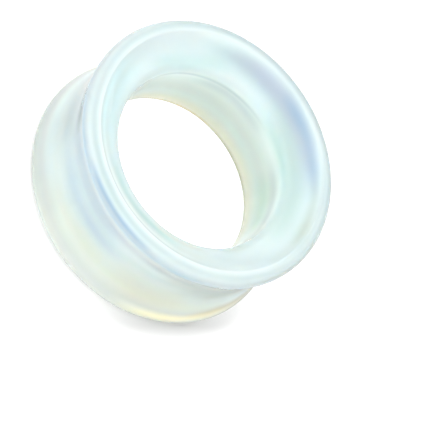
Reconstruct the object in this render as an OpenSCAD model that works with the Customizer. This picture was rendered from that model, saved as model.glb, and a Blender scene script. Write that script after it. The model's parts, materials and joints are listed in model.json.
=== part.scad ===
// Double-flared ear tunnel: one turned and polished ring of opal glass.
// The ring lies flat on one rim, with its axis along Z and its origin at the centre of the bottom rim.

/* [Ear side] */
// Diameter at the waist, which is the gauge that the stretched lobe sits on
waist_d = 25.4; // [22:0.1:26.9]
// Largest diameter of each flared rim
flare_d = 27.3; // [25.8:0.1:32]
// Length from the face of one rim to the face of the other
length = 12.1; // [9:0.1:20]

/* [Rim] */
// Radius of the outer turn of each rim
lip_r = 0.95; // [0.4:0.05:1.2]
// Width of the flat ring on the face of each rim
seat_w = 0.3; // [0.15:0.05:1]
// Radius of the inner turn of each rim, where the face drops into the funnel
crest_r = 0.35; // [0.1:0.05:0.6]

/* [Hole] */
// Diameter of the straight bore
bore_d = 18.1; // [12:0.1:20]
// Depth from the face of a rim to where its funnel meets the bore
funnel_depth = 2.9; // [2:0.1:4]
// Radius of the hollow that each funnel is ground to
funnel_r = 9; // [6:0.5:60]
// Radius of the soft turn between a funnel and the bore
edge_r = 1.3; // [0.1:0.05:1.6]

/* [Hidden] */
$fn = 180;
// How far the outline's short straight stretches may cut a corner of its arcs
arc_error = 0.003;

half_length = length / 2;
flare_r = flare_d / 2;
waist_r = waist_d / 2;
bore_r = bore_d / 2;

function heading(from, to) = atan2(to.y - from.y, to.x - from.x);

// The point at two given reaches from a and b, to the right of the way from a to b
function meeting_point(a, reach_a, b, reach_b) =
    let (span = norm(b - a))
    let (along = (span ^ 2 + reach_a ^ 2 - reach_b ^ 2) / (2 * span))
    let (across = sqrt(reach_a ^ 2 - along ^ 2))
    let (way = (b - a) / span)
    a + way * along + [way.y, -way.x] * across;

// Points along an arc from one heading to another, with skip of them left out at each end
function arc(centre, radius, from, to, skip = 0) =
    let (stretch = 2 * acos(1 - arc_error / radius))
    let (stretches = ceil(abs(to - from) / stretch))
    [for (i = [skip : stretches - skip])
        let (turn = from + (to - from) * i / stretches)
        centre + radius * [cos(turn), sin(turn)]];

// Centres of the small arcs of the upper rim, as [radius, height above the waist]
lip_centre = [flare_r - lip_r, half_length - lip_r];
crest_centre = [lip_centre.x - seat_w, half_length - crest_r];
edge_centre = [bore_r + edge_r, half_length - funnel_depth];

// The saddle that the lobe sits in is an arc tangent to both lips and to the waist
lip_rise = waist_r - lip_centre.x;
saddle_r = (lip_centre.y ^ 2 + lip_rise ^ 2 - lip_r ^ 2) / (2 * (lip_r - lip_rise));
saddle_centre = [waist_r + saddle_r, 0];
saddle_start = heading(saddle_centre, lip_centre);

// The funnel is a hollow arc tangent to the rim's inner turn and to the soft turn at the bore
funnel_centre = meeting_point(crest_centre, funnel_r + crest_r, edge_centre, funnel_r + edge_r);

// The upper rim, from the top of the straight bore up the funnel and over the lip
rim_outline = concat(
    arc(edge_centre, edge_r, 180, heading(edge_centre, funnel_centre)),
    arc(
        funnel_centre,
        funnel_r,
        heading(funnel_centre, edge_centre),
        heading(funnel_centre, crest_centre),
        skip = 1
    ),
    arc(crest_centre, crest_r, heading(crest_centre, funnel_centre), 90),
    arc(lip_centre, lip_r, 90, 0),
    arc(lip_centre, lip_r, 0, heading(lip_centre, saddle_centre), skip = 1)
);
saddle_outline = arc(saddle_centre, saddle_r, saddle_start, 360 - saddle_start);

module ring_section() {
    polygon(concat(
        rim_outline,
        saddle_outline,
        [for (i = [len(rim_outline) - 1 : -1 : 0]) [rim_outline[i].x, -rim_outline[i].y]]
    ));
}

module tunnel() {
    color([0.78, 0.92, 0.93])
        translate([0, 0, half_length])
            rotate_extrude()
                ring_section();
}

tunnel();
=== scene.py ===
"""Opal glass ear tunnel, lying on one rim on a white studio floor."""

import json
import math
from typing import NamedTuple

import bmesh
import bpy
from mathutils import Color, Matrix, Vector


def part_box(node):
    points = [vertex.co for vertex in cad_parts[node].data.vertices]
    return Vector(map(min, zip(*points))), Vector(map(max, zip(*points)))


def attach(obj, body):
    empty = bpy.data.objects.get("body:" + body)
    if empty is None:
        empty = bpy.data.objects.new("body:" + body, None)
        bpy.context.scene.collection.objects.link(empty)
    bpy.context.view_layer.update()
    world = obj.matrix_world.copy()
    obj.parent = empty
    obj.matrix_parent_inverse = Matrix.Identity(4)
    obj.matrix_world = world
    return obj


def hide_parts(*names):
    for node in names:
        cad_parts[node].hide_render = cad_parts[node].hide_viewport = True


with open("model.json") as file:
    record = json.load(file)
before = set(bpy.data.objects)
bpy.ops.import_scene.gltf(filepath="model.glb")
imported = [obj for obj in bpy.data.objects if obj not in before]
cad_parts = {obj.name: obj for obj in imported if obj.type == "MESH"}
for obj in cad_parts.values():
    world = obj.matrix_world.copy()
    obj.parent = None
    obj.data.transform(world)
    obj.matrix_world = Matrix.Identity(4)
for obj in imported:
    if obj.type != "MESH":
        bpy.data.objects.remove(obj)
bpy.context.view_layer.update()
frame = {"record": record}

MM = 0.001
WHITE = (1, 1, 1)
# Middle of a noise texture's values
NOISE_MIDDLE = (0.5, 0.5, 0.5)

# Camera, from how the ring sits in the photograph
IMAGE_SIDE_PX = 440
RING_CENTRE_PX = (182.6, 171.9)
FLARE_RADIUS_PX = 141.1
CAMERA_DISTANCE = 259.4 * MM
# Angle between the ring's axis and the line of sight, and how far the axis leans up from the image's right
AXIS_TILT = math.radians(38.0)
AXIS_LEAN = math.radians(35.3)
SENSOR_WIDTH_MM = 36
CLIP_START = 10 * MM
CLIP_END = 10000 * MM

# Ring, in the CAD part's own sizes
LIP_RADIUS = 0.95 * MM
SEAT_WIDTH = 0.3 * MM
CREST_RADIUS = 0.35 * MM
FUNNEL_RADIUS = 9 * MM
EDGE_RADIUS = 1.3 * MM
WAIST_RADIUS = 12.7 * MM
# Straight stretches round the ring and in each arc of its section
STEPS_ROUND = 540
EDGE_STEPS = 10
FUNNEL_STEPS = 10
CREST_STEPS = 8
LIP_STEPS = 40
SADDLE_STEPS = 14
BORE_STEPS = 6

node_low, node_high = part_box("tunnel")
LENGTH = node_high.z - node_low.z
FLARE_RADIUS = (node_high.x - node_low.x) / 2
bore = next(m for m in frame["record"]["mounts"] if m["name"] == "bore")
BORE_RADIUS = bore["dims"]["r_mm"] * MM
FUNNEL_DEPTH = (LENGTH - bore["dims"]["length_mm"] * MM) / 2

# Glass
GLASS_ROUGHNESS = 0.03
GLASS_IOR = 1.5
# Share of clear glass in the milky glass, at the waist and in the rims, and the heights in millimetres
# from the waist where it starts to change and where it is full
WAIST_CLEARNESS = 0.48
RIM_CLEARNESS = 0.5
RIM_FROM = 3.0
RIM_FULL = 5.0
# Bluish fog and weak tint inside the glass, and how deep light glows through its milky share
SCATTER_COLOUR = (0.5, 0.72, 1.0)
SCATTER_PER_METRE = 350
ABSORB_COLOUR = (0.6, 0.97, 0.95)
ABSORB_PER_METRE = 10
GLOW_DEPTH = 2 * MM
# Shares of that depth for red, green and blue
GLOW_SHARES = (1, 1, 1)
# How far a patch of colour may wander from its plain oval, and the size and detail of the wandering
WANDER = 1.4 * MM
WANDER_PER_METRE = 110
WANDER_DETAIL = 1.0
# Faint streaks drawn out round the ring: share of the colour that they change, their number to
# a millimetre of height, their detail, and how quickly they change on the way round
STREAKS = 0.07
STREAKS_PER_MM = 1.1
STREAK_DETAIL = 2.0
STREAK_TURN = 1.8
# Opal glass turns dark if light may turn only a few times inside it
LIGHT_BOUNCES = 32
FOG_BOUNCES = 24


class Patch(NamedTuple):
    """A soft spot of colour on the glass, for its tints and for painted shade, highlights and glow, in
    degrees round the axis and in millimetres.

    From its middle it fades over a spread round the ring, a rise up and down, and a reach in and out.
    """

    azimuth: float
    spread: float
    height: float
    rise: float
    radius: float
    reach: float
    tint: str
    strength: float


ALL_ROUND = 360

# Colours as they are written for screens
TINTS = {
    "opal": "ECFAFA",
    "milk": "FFFFFF",
    "ice": "E2F8FC",
    "pearl": "DCE2E6",
    "blue": "8CB4D6",
    "lilac": "C4CCEC",
    "teal": "A8D8D0",
    "green": "B0D8C0",
    "olive": "A6A684",
    "rose": "B8A49A",
    "cream": "F2ECDA",
    "gold": "F6E8A4",
    "amber": "D4C086",
    "grey": "A4B2B2",
    "slate": "7C9298",
}

# Even bands all round the ring, some of them painted shade
BANDS = {
    "bore": Patch(0, ALL_ROUND, 0, 4.2, 9.05, 0.9, "olive", 0.37),
    "bore_foot": Patch(0, ALL_ROUND, -2.9, 2.0, 9.05, 0.9, "amber", 0.45),
    # Painted shade on the top face of each lip
    "lip_face": Patch(0, ALL_ROUND, 6.0, 0.6, 12.9, 0.7, "grey", 0.35),
    # Painted shade along the outer side of each lip
    "lip_side": Patch(0, ALL_ROUND, 5.5, 0.8, 13.6, 0.5, "pearl", 0.75),
    # Painted shade on the saddle under each lip
    "saddle_top": Patch(0, ALL_ROUND, 3.7, 2.0, 13.2, 1.1, "pearl", 0.8),
    "saddle": Patch(0, ALL_ROUND, -0.8, 4, 12.9, 1.0, "grey", 0.28),
    "saddle_foot": Patch(0, ALL_ROUND, -4.2, 1.7, 13.4, 1.0, "rose", 0.35),
    "foot_side": Patch(0, ALL_ROUND, -5.1, 1.0, 13.6, 0.5, "amber", 0.2),
    # Painted shade along the underside of the bottom rim's edge
    "foot_edge_shade": Patch(0, ALL_ROUND, -5.9, 0.5, 13.5, 0.7, "olive", 0.8),
}

# Patches with wandering edges, the later ones over the earlier ones
PATCHES = {
    "crescent": Patch(90, 56, 5.2, 1.7, 11.2, 2.1, "slate", 0.45),
    "crescent_lilac": Patch(86, 52, 5.2, 1.6, 11.2, 2.0, "lilac", 0.4),
    "crescent_core": Patch(66, 32, 5.45, 1.0, 11.55, 1.2, "blue", 0.6),
    "funnel_near_teal": Patch(272, 32, 4.75, 0.7, 10.6, 1.1, "teal", 0.45),
    "funnel_near_cream": Patch(300, 20, 4.4, 0.5, 9.9, 0.8, "cream", 0.6),
    "funnel_green_right": Patch(46, 56, 4.1, 1.6, 9.9, 1.7, "green", 0.3),
    "funnel_grey_right": Patch(46, 56, 4.1, 1.6, 9.9, 1.7, "grey", 0.2),
    "soft_turn_teal": Patch(72, 44, 3.4, 1.1, 9.3, 0.7, "teal", 0.35),
    "funnel_teal_top": Patch(150, 30, 4.3, 0.9, 10.0, 1.4, "teal", 0.25),
    "funnel_ice_left": Patch(210, 42, 4.6, 1.4, 10.4, 1.6, "ice", 0.9),
    "funnel_amber_foot": Patch(5, 24, 5.5, 0.8, 11.8, 1.0, "amber", 0.12),
    "funnel_olive_right": Patch(28, 24, 5.5, 0.8, 11.6, 0.9, "olive", 0.33),
    "funnel_cream_low": Patch(310, 13, 5.0, 0.9, 11, 1.2, "cream", 0.3),
    "funnel_olive_low": Patch(342, 16, 4.1, 0.7, 9.7, 0.8, "olive", 0.2),
    "bore_green": Patch(36, 26, 0.2, 2.6, 9.05, 0.8, "green", 0.5),
    "bore_slate": Patch(112, 36, 2.3, 1.2, 9.05, 0.8, "slate", 0.3),
    "bore_cream": Patch(137, 20, -3.3, 1.3, 9.1, 0.8, "cream", 0.85),
    "bore_right_top": Patch(34, 36, 2.0, 1.2, 9.05, 0.8, "grey", 0.45),
    "lip_under_shade": Patch(318, 32, 4.85, 0.7, 13.6, 0.5, "slate", 0.35),
    "saddle_blue": Patch(250, 42, 2.9, 2.8, 13.1, 1.2, "blue", 0.4),
    "waist_blue": Patch(258, 34, 0.3, 2.0, 12.7, 1.0, "blue", 0.38),
    "saddle_slate": Patch(200, 40, 0.5, 4.2, 12.9, 1.4, "slate", 0.38),
    "saddle_slate_left": Patch(228, 30, -3.2, 2.4, 13.1, 1.2, "slate", 0.14),
    "saddle_dim_left": Patch(245, 36, 2.2, 1.5, 12.9, 1.0, "slate", 0.15),
    "waist_slate_right": Patch(300, 20, 1.2, 1.6, 12.8, 1.0, "slate", 0.15),
    "saddle_amber_left": Patch(264, 32, -2.6, 2.2, 13, 1.2, "amber", 0.25),
    "saddle_amber_middle": Patch(306, 24, -1.6, 3.0, 12.9, 1.2, "amber", 0.25),
    "under_lip_shade": Patch(306, 18, 3.4, 1.7, 13.1, 1.0, "slate", 0.18),
    "diagonal_shade": Patch(318, 16, 2.2, 2.0, 12.9, 1.0, "olive", 0.22),
    "diagonal_shade_low": Patch(328, 16, 1.0, 2.0, 12.8, 1.0, "olive", 0.22),
    "low_right_shade": Patch(339, 16, -0.2, 2.0, 12.7, 1.0, "olive", 0.22),
    "saddle_amber_near": Patch(316, 40, -2.9, 1.9, 13.0, 1.0, "amber", 0.25),
    "saddle_amber_right": Patch(352, 22, -4.2, 1.6, 13.4, 1.2, "amber", 0.45),
    # Painted glow: yellow light coming through the front of the foot
    "foot_gold_glow": Patch(328, 34, -4.5, 0.9, 13.5, 0.9, "gold", 0.45),
    # Painted shade along the lower lip's edge at the left
    "low_lip_edge_shade": Patch(215, 44, -4.9, 1.3, 13.6, 0.8, "slate", 0.18),
    "far_blue": Patch(70, 40, 2.8, 2.6, 13, 1.2, "blue", 0.3),
    "far_cream": Patch(112, 40, -2.8, 2.4, 13, 1.2, "cream", 0.5),
    "far_teal": Patch(22, 30, 0.4, 3.6, 12.9, 1.2, "teal", 0.25),
    # Painted glow at the foot on the far side
    "far_gold_glow": Patch(150, 30, -4.45, 0.9, 13.5, 0.9, "gold", 0.5),
    "bore_ice": Patch(240, 46, 1.2, 3.0, 9.05, 0.8, "ice", 0.3),
    "bore_gold": Patch(300, 30, -2.4, 1.8, 9.05, 0.8, "gold", 0.3),
}

# Where the glass is milkier than elsewhere: the front of the foot, the near side of the crest
# and the funnel at the left
MILKY = [
    Patch(330, 38, -4.5, 0.8, 13.4, 1.0, "milk", 0.28),
    Patch(245, 72, 5.5, 0.9, 11.8, 1.0, "milk", 0.15),
    Patch(210, 42, 4.6, 1.4, 10.4, 1.6, "milk", 0.09),
]

# Thin lines of colour, of painted shade and of a painted highlight, which keep to the turned shape
LINES = {
    # Painted highlight: a whiter near side of the crest
    "crest_near_highlight": Patch(262, 62, 5.6, 0.75, 11.85, 0.8, "milk", 0.15),
    "crest_ice_left": Patch(212, 34, 5.5, 0.9, 11.8, 1.2, "ice", 1.0),
    "left_shade": Patch(211, 20, 3.4, 1.6, 13.1, 1.0, "slate", 0.95),
    # Painted shade along the outer side of the lip at the right
    "lip_side_right_shade": Patch(18, 52, 5.6, 0.5, 13.5, 0.4, "olive", 0.35),
    # Painted shade that dims the crest's highlight on the right
    "crest_right_shade": Patch(24, 40, 5.95, 0.5, 12.4, 0.4, "grey", 0.3),
    # Bluish painted shade along the outer side of the near lip
    "lip_side_near_shade": Patch(258, 76, 5.1, 0.6, 13.63, 0.3, "blue", 0.42),
    # Painted shade on the near lip's face, beside the highlight
    "lip_face_near_shade": Patch(268, 50, 6.0, 0.3, 12.95, 0.45, "grey", 0.1),
    "bore_line": Patch(128, 50, 3.1, 0.4, 9.1, 0.5, "slate", 0.3),
    "bore_foot_olive": Patch(55, 80, -3.7, 0.8, 9.1, 0.7, "olive", 1.0),
    "bore_foot_amber": Patch(132, 40, -3.6, 0.6, 9.1, 0.5, "amber", 0.75),
    # Painted shade along the near edge of the hole
    "hole_edge_shade": Patch(270, 80, 3.55, 0.35, 9.2, 0.35, "olive", 0.4),
    "lip_blue": Patch(266, 26, 5.6, 0.42, 13.5, 0.4, "blue", 0.62),
    "lip_ice": Patch(303, 18, 5.45, 0.6, 13.55, 0.5, "ice", 0.4),
    # Painted shade along the far lip's outline
    "lip_outline_shade": Patch(85, 85, 5.6, 0.4, 13.5, 0.35, "olive", 0.6),
    # Painted shade on the far lip's face, outside the highlight
    "lip_far_shade": Patch(90, 75, 5.95, 0.55, 12.95, 0.7, "grey", 0.2),
}

# White light table
FLOOR_RADIUS = 120 * MM
FLOOR_STEPS = 128
FLOOR_GREY = 0.46
FLOOR_ROUGHNESS = 0.6
# The table glows most under the hole. Round the ring the camera sees an even glow with a painted shadow
# at the foot, and the glass sees a glow that fades outwards, without its mirror reflections
HOLE_GLOW = 0.85
TABLE_GLOW = 0.5
FOOT_GLOW = 0.05
SIDE_GLOW = 0.75
HOLE_GLOW_TO = 12 * MM
TABLE_GLOW_FROM = 13 * MM
TABLE_GLOW_TO = 16 * MM
NO_GLOW_FROM = 26 * MM
# The painted shadow on the table under the foot, a dimmer patch of its glow: its middle, its half length
# and half width, its turn, and how fast it fades
SHADOW_MIDDLE = (12.1 * MM, -6.3 * MM, 0)
SHADOW_REACH = (30 * MM, 3.4 * MM, 1)
SHADOW_TURN = math.radians(58.7)
SHADOW_FADE_POWER = 0.5


class SoftBox(NamedTuple):
    """A round soft box: the way to it and how far out its light is full and gone, all in degrees."""

    azimuth: float
    elevation: float
    full: float
    faded: float
    brightness: float


SOFT_BOXES = {
    "back_low": SoftBox(180, 48.5, 0.5, 4, 2.1),
    "back_high": SoftBox(180, 55.5, 0.5, 4, 2.1),
    "back_right": SoftBox(164, 52, 0.5, 4.5, 0.5),
    "above": SoftBox(150, 74, 3, 10, 1.5),
    "left_card": SoftBox(303, 35, 2, 6, 6),
    "low_front": SoftBox(0, 15, 10, 32, 1.15),
    "low_left": SoftBox(312, 18, 10, 30, 1.0),
}

# Sky behind them: its brightness at the horizon and overhead, the slopes between which it changes,
# and the plain white that the camera sees in its place
HORIZON_LIGHT = 0.1
OVERHEAD_LIGHT = 1.55
HORIZON_TOP = 0.05
OVERHEAD_FROM = 0.45
BACKDROP_WHITE = 1.1

# Lamp that lights only the floor, for the ring's shadow
LAMP_AZIMUTH = 244
LAMP_ELEVATION = 83
LAMP_DISTANCE = 300 * MM
LAMP_SIDE = 60 * MM
LAMP_POWER = 0.9


def heading(start, end):
    return math.atan2(end.y - start.y, end.x - start.x)


def meeting_point(a, reach_a, b, reach_b):
    """The point at two given reaches from a and b, to the right of the way from a to b."""
    span = (b - a).length
    along = (span**2 + reach_a**2 - reach_b**2) / (2 * span)
    across = math.sqrt(reach_a**2 - along**2)
    way = (b - a) / span
    return a + way * along + Vector((way.y, -way.x)) * across


def arc(centre, radius, start, end, steps):
    """Points along an arc, without its last one."""
    turns = [start + (end - start) * i / steps for i in range(steps)]
    return [centre + radius * Vector((math.cos(t), math.sin(t))) for t in turns]


def ring_section():
    """The closed outline of the ring's section as (radius, height above the waist)."""
    half = LENGTH / 2
    lip = Vector((FLARE_RADIUS - LIP_RADIUS, half - LIP_RADIUS))
    crest = Vector((lip.x - SEAT_WIDTH, half - CREST_RADIUS))
    edge = Vector((BORE_RADIUS + EDGE_RADIUS, half - FUNNEL_DEPTH))
    funnel = meeting_point(crest, FUNNEL_RADIUS + CREST_RADIUS, edge, FUNNEL_RADIUS + EDGE_RADIUS)
    lip_rise = WAIST_RADIUS - lip.x
    saddle_radius = (lip.y**2 + lip_rise**2 - LIP_RADIUS**2) / (2 * (LIP_RADIUS - lip_rise))
    saddle = Vector((WAIST_RADIUS + saddle_radius, 0))
    upper = [
        *arc(edge, EDGE_RADIUS, math.pi, heading(edge, funnel), EDGE_STEPS),
        *arc(funnel, FUNNEL_RADIUS, heading(funnel, edge), heading(funnel, crest), FUNNEL_STEPS),
        *arc(crest, CREST_RADIUS, heading(crest, funnel), math.pi / 2, CREST_STEPS),
        *arc(lip, LIP_RADIUS, math.pi / 2, heading(lip, saddle), LIP_STEPS),
        *arc(saddle, saddle_radius, heading(saddle, lip), math.pi, SADDLE_STEPS),
    ]
    waist = Vector((WAIST_RADIUS, 0))
    lower = [Vector((p.x, -p.y)) for p in reversed(upper)]
    bore_wall = [Vector((BORE_RADIUS, edge.y * (2 * i / BORE_STEPS - 1))) for i in range(1, BORE_STEPS)]
    return [*upper, waist, *lower, *bore_wall]


def revolve(name, outline, height):
    """A mesh made by turning the outline about Z, with its zero height raised to the given one."""
    mesh = bpy.data.meshes.new(name)
    shape = bmesh.new()
    rows = []
    for i in range(STEPS_ROUND):
        turn = 2 * math.pi * i / STEPS_ROUND
        way = (math.cos(turn), math.sin(turn))
        rows.append([shape.verts.new((p.x * way[0], p.x * way[1], p.y + height)) for p in outline])
    for i, row in enumerate(rows):
        following = rows[(i + 1) % STEPS_ROUND]
        for j in range(len(outline)):
            k = (j + 1) % len(outline)
            shape.faces.new((row[j], following[j], following[k], row[k])).smooth = True
    bmesh.ops.recalc_face_normals(shape, faces=shape.faces)
    shape.to_mesh(mesh)
    shape.free()
    obj = bpy.data.objects.new(name, mesh)
    bpy.context.scene.collection.objects.link(obj)
    return obj


def aim_camera():
    """The photograph's view of the ring: the ring's place in the image, its tilt and its lean."""
    focal_px = FLARE_RADIUS_PX * CAMERA_DISTANCE / FLARE_RADIUS
    half = IMAGE_SIDE_PX / 2
    sight = Vector((RING_CENTRE_PX[0] - half, half - RING_CENTRE_PX[1], -focal_px)).normalized()
    right = Vector((1, 0, 0))
    right = (right - sight * right.dot(sight)).normalized()
    up = right.cross(sight)
    side = right * math.cos(AXIS_LEAN) + up * math.sin(AXIS_LEAN)
    ring_z = side * math.sin(AXIS_TILT) - sight * math.cos(AXIS_TILT)
    ring_y = (sight - ring_z * ring_z.dot(sight)).normalized()
    ring_x = ring_y.cross(ring_z)
    # The rows are the ring's axes as the camera sees them, so this turns the camera's directions
    # into the ring's frame
    turn = Matrix((ring_x, ring_y, ring_z))
    lens = bpy.data.cameras.new("camera")
    lens.sensor_width = SENSOR_WIDTH_MM
    lens.lens = focal_px / IMAGE_SIDE_PX * SENSOR_WIDTH_MM
    lens.clip_start = CLIP_START
    lens.clip_end = CLIP_END
    camera = bpy.data.objects.new("camera", lens)
    camera.location = Vector((0, 0, LENGTH / 2)) - turn @ sight * CAMERA_DISTANCE
    camera.rotation_euler = turn.to_euler()
    bpy.context.scene.collection.objects.link(camera)
    bpy.context.scene.camera = camera


def linear(hex_code):
    """A colour as the shader wants it, from the way it is written for screens."""
    parts = [int(hex_code[i : i + 2], 16) / 255 for i in (0, 2, 4)]
    return (*Color(parts).from_srgb_to_scene_linear(), 1)


class Tree:
    """Short calls for making and joining shader nodes."""

    # Places of the colour sockets on a Mix node
    MIX_UNDER = 6
    MIX_OVER = 7
    MIX_RESULT = 2

    def __init__(self, tree):
        self.tree = tree

    def node(self, kind, **settings):
        made = self.tree.nodes.new("ShaderNode" + kind)
        for name, value in settings.items():
            setattr(made, name, value)
        return made

    def put(self, node, socket, value):
        """Joins another node's output to a socket, or sets the socket to a plain value."""
        if isinstance(value, bpy.types.NodeSocket):
            self.tree.links.new(value, node.inputs[socket])
        else:
            node.inputs[socket].default_value = value

    def math(self, operation, a, b=0.0, c=0.0):
        made = self.node("Math", operation=operation)
        self.put(made, 0, a)
        self.put(made, 1, b)
        self.put(made, 2, c)
        return made.outputs[0]

    def vector(self, operation, a, b=(0, 0, 0), output="Vector"):
        made = self.node("VectorMath", operation=operation)
        self.put(made, 0, a)
        self.put(made, 1, b)
        return made.outputs[output]

    def scaled(self, a, factor):
        made = self.node("VectorMath", operation="SCALE")
        self.put(made, 0, a)
        self.put(made, "Scale", factor)
        return made.outputs["Vector"]

    def fade(self, value, low, high, to=1.0):
        """Runs smoothly from 0 to a value as the input goes from low to high."""
        made = self.node("MapRange", interpolation_type="SMOOTHSTEP")
        self.put(made, "Value", value)
        self.put(made, "From Min", low)
        self.put(made, "From Max", high)
        self.put(made, "To Max", to)
        return made.outputs["Result"]

    def blend(self, factor, under, over):
        made = self.node("Mix", data_type="RGBA")
        self.put(made, "Factor", factor)
        self.put(made, self.MIX_UNDER, under)
        self.put(made, self.MIX_OVER, over)
        return made.outputs[self.MIX_RESULT]

    def choose(self, switch, off, on):
        """One value where a switch is 0 and another where it is 1."""
        made = self.node("Mix", data_type="FLOAT")
        self.put(made, "Factor", switch)
        self.put(made, "A", off)
        self.put(made, "B", on)
        return made.outputs["Result"]


class Place(NamedTuple):
    """Where on the ring a point of the glass lies.

    It is given by the way out from the axis, the height above the waist and the radius.
    """

    way: object
    height: object
    radius: object


def place_on_ring(tree, position):
    """Heights and radii in millimetres."""
    parts = tree.node("SeparateXYZ")
    tree.put(parts, 0, position)
    height = tree.math("MULTIPLY_ADD", parts.outputs["Z"], 1 / MM, -LENGTH / 2 / MM)
    outward = tree.vector("MULTIPLY", position, (1 / MM, 1 / MM, 0))
    way = tree.vector("NORMALIZE", outward)
    return Place(way, height, tree.vector("LENGTH", outward, output="Value"))


def patch_mask(tree, place, patch):
    """How much of a patch's tint a point takes: its strength in the middle, fading to nothing round it."""
    height_gap = tree.math("ABSOLUTE", tree.math("SUBTRACT", place.height, patch.height))
    radius_gap = tree.math("ABSOLUTE", tree.math("SUBTRACT", place.radius, patch.radius))
    mask = tree.math(
        "MULTIPLY",
        tree.fade(height_gap, patch.rise, 0),
        tree.fade(radius_gap, patch.reach, 0, patch.strength),
    )
    if patch.spread == ALL_ROUND:
        return mask
    turn = math.radians(patch.azimuth)
    nearness = tree.vector("DOT_PRODUCT", place.way, (math.cos(turn), math.sin(turn), 0), "Value")
    return tree.math("MULTIPLY", mask, tree.fade(nearness, math.cos(math.radians(patch.spread)), 1))


def streaks(tree, place):
    """A tint close to white that runs in long thin streaks round the ring."""
    spin = tree.scaled(place.way, STREAK_TURN)
    level = tree.node("CombineXYZ")
    tree.put(level, "Z", tree.math("SUBTRACT", place.height, place.radius))
    noise = tree.node("TexNoise")
    tree.put(noise, "Vector", tree.vector("ADD", spin, level.outputs[0]))
    tree.put(noise, "Scale", STREAKS_PER_MM)
    tree.put(noise, "Detail", STREAK_DETAIL)
    change = tree.scaled(tree.vector("SUBTRACT", noise.outputs["Color"], NOISE_MIDDLE), STREAKS)
    return tree.vector("ADD", change, WHITE)


def opal_colour(tree, position):
    """The glass's colour with painted shade, highlights and glow laid into it: even bands round the ring,
    then patches with wandering edges, then lines.
    """
    colour = linear(TINTS["opal"])
    straight = place_on_ring(tree, position)
    wander = tree.node("TexNoise")
    tree.put(wander, "Vector", position)
    tree.put(wander, "Scale", WANDER_PER_METRE)
    tree.put(wander, "Detail", WANDER_DETAIL)
    shift = tree.scaled(tree.vector("SUBTRACT", wander.outputs["Color"], NOISE_MIDDLE), WANDER)
    wandering = place_on_ring(tree, tree.vector("ADD", position, shift))
    for place, patches in ((straight, BANDS), (wandering, PATCHES), (straight, LINES)):
        for patch in patches.values():
            colour = tree.blend(patch_mask(tree, place, patch), colour, linear(TINTS[patch.tint]))
    return tree.vector("MULTIPLY", colour, streaks(tree, straight))


def opal_glass():
    material = bpy.data.materials.new("opal_glass")
    material.use_nodes = True
    material.node_tree.nodes.clear()
    tree = Tree(material.node_tree)
    glass = tree.node("BsdfPrincipled")
    position = tree.node("TexCoord").outputs["Object"]
    tree.put(glass, "Base Color", opal_colour(tree, position))
    tree.put(glass, "Roughness", GLASS_ROUGHNESS)
    tree.put(glass, "IOR", GLASS_IOR)
    place = place_on_ring(tree, position)
    clearness = tree.fade(tree.math("ABSOLUTE", place.height), RIM_FROM, RIM_FULL, RIM_CLEARNESS)
    tree.put(clearness.node, "To Min", WAIST_CLEARNESS)
    for patch in MILKY:
        clearness = tree.math("SUBTRACT", clearness, patch_mask(tree, place, patch))
    tree.put(glass, "Transmission Weight", clearness)
    tree.put(glass, "Subsurface Weight", 1.0)
    tree.put(glass, "Subsurface Radius", GLOW_SHARES)
    tree.put(glass, "Subsurface Scale", GLOW_DEPTH)
    fog = tree.node("VolumeScatter")
    tree.put(fog, "Color", (*SCATTER_COLOUR, 1))
    tree.put(fog, "Density", SCATTER_PER_METRE)
    tint = tree.node("VolumeAbsorption")
    tree.put(tint, "Color", (*ABSORB_COLOUR, 1))
    tree.put(tint, "Density", ABSORB_PER_METRE)
    both = tree.node("AddShader")
    tree.put(both, 0, fog.outputs[0])
    tree.put(both, 1, tint.outputs[0])
    out = tree.node("OutputMaterial")
    tree.put(out, "Surface", glass.outputs[0])
    tree.put(out, "Volume", both.outputs[0])
    return material


def seen_glow(tree, position):
    """The table's glow round the ring as the camera sees it, with a painted shadow under the foot."""
    painted_shadow = tree.node("Mapping", vector_type="TEXTURE")
    tree.put(painted_shadow, "Vector", position)
    tree.put(painted_shadow, "Location", SHADOW_MIDDLE)
    tree.put(painted_shadow, "Rotation", (0, 0, SHADOW_TURN))
    tree.put(painted_shadow, "Scale", SHADOW_REACH)
    from_foot = tree.vector("LENGTH", painted_shadow.outputs[0], output="Value")
    glow = tree.node("MapRange")
    tree.put(glow, "Value", tree.math("POWER", from_foot, SHADOW_FADE_POWER))
    tree.put(glow, "To Min", FOOT_GLOW)
    tree.put(glow, "To Max", TABLE_GLOW)
    return glow.outputs["Result"]


def table_glow(tree, position):
    """How strongly the table glows: under the hole for every ray, round the ring by the kind of ray."""
    reach = tree.vector("LENGTH", position, output="Value")
    under_hole = tree.fade(reach, TABLE_GLOW_FROM, HOLE_GLOW_TO, HOLE_GLOW - TABLE_GLOW)
    side_glow = tree.fade(reach, NO_GLOW_FROM, TABLE_GLOW_TO, SIDE_GLOW)
    rays = tree.node("LightPath").outputs
    around = tree.choose(rays["Is Camera Ray"], side_glow, seen_glow(tree, position))
    unmirrored = tree.math("SUBTRACT", 1.0, rays["Is Glossy Ray"])
    return tree.math("ADD", under_hole, tree.math("MULTIPLY", around, unmirrored))


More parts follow.
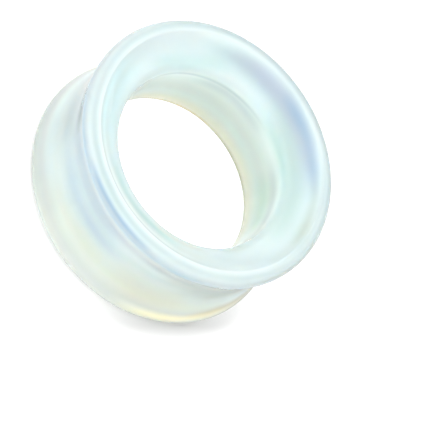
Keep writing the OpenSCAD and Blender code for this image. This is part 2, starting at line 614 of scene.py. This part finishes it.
def floor():
    """A white light table: pale all over and glowing a little, so that only a faint shadow shows."""
    turns = [2 * math.pi * i / FLOOR_STEPS for i in range(FLOOR_STEPS)]
    mesh = bpy.data.meshes.new("floor")
    rim = [(FLOOR_RADIUS * math.cos(t), FLOOR_RADIUS * math.sin(t), 0) for t in turns]
    mesh.from_pydata(rim, [], [tuple(range(FLOOR_STEPS))])
    table = bpy.data.objects.new("floor", mesh)
    bpy.context.scene.collection.objects.link(table)
    material = bpy.data.materials.new("white_floor")
    material.use_nodes = True
    tree = Tree(material.node_tree)
    white = material.node_tree.nodes["Principled BSDF"]
    tree.put(white, "Base Color", (FLOOR_GREY, FLOOR_GREY, FLOOR_GREY, 1))
    tree.put(white, "Roughness", FLOOR_ROUGHNESS)
    tree.put(white, "Emission Color", (*WHITE, 1))
    tree.put(white, "Emission Strength", table_glow(tree, tree.node("TexCoord").outputs["Object"]))
    mesh.materials.append(material)
    return table


def light_way(azimuth, elevation):
    """The way to a light: azimuth 0 is the camera's side of the ring."""
    turn = math.radians(azimuth)
    rise = math.radians(elevation)
    return Vector((math.sin(turn) * math.cos(rise), -math.cos(turn) * math.cos(rise), math.sin(rise)))


def shadow_lamp(table):
    data = bpy.data.lights.new("lamp", "AREA")
    data.size = LAMP_SIDE
    data.energy = LAMP_POWER
    lamp = bpy.data.objects.new("lamp", data)
    way = light_way(LAMP_AZIMUTH, LAMP_ELEVATION)
    lamp.location = way * LAMP_DISTANCE
    lamp.rotation_euler = way.to_track_quat("Z", "Y").to_euler()
    lamp.visible_camera = False
    lamp.visible_glossy = False
    lamp.visible_transmission = False
    lit = bpy.data.collections.new("lit_by_lamp")
    lit.objects.link(table)
    lamp.light_linking.receiver_collection = lit
    bpy.context.scene.collection.objects.link(lamp)


def studio_light():
    """A sky that brightens from a dim horizon to a white ceiling, with soft boxes in it."""
    world = bpy.data.worlds.new("studio")
    bpy.context.scene.world = world
    world.use_nodes = True
    world.node_tree.nodes.clear()
    tree = Tree(world.node_tree)
    way = tree.node("TexCoord").outputs["Generated"]
    parts = tree.node("SeparateXYZ")
    tree.put(parts, 0, way)
    sky = tree.fade(parts.outputs["Z"], HORIZON_TOP, OVERHEAD_FROM, OVERHEAD_LIGHT)
    tree.put(sky.node, "To Min", HORIZON_LIGHT)
    for box in SOFT_BOXES.values():
        nearness = tree.vector("DOT_PRODUCT", way, light_way(box.azimuth, box.elevation), "Value")
        edge = math.cos(math.radians(box.faded))
        core = math.cos(math.radians(box.full))
        sky = tree.math("ADD", sky, tree.fade(nearness, edge, core, box.brightness))
    seen = tree.choose(tree.node("LightPath").outputs["Is Camera Ray"], sky, BACKDROP_WHITE)
    background = tree.node("Background")
    tree.put(background, "Color", (*WHITE, 1))
    tree.put(background, "Strength", seen)
    out = tree.node("OutputWorld")
    tree.put(out, "Surface", background.outputs[0])


aim_camera()
studio_light()
shadow_lamp(floor())
bpy.context.scene.view_settings.view_transform = "Standard"
bpy.context.scene.cycles.max_bounces = LIGHT_BOUNCES
bpy.context.scene.cycles.transmission_bounces = LIGHT_BOUNCES
bpy.context.scene.cycles.volume_bounces = FOG_BOUNCES

ring = revolve("opal_ring", ring_section(), LENGTH / 2)
ring.data.materials.append(opal_glass())
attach(ring, "root")
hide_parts("tunnel")
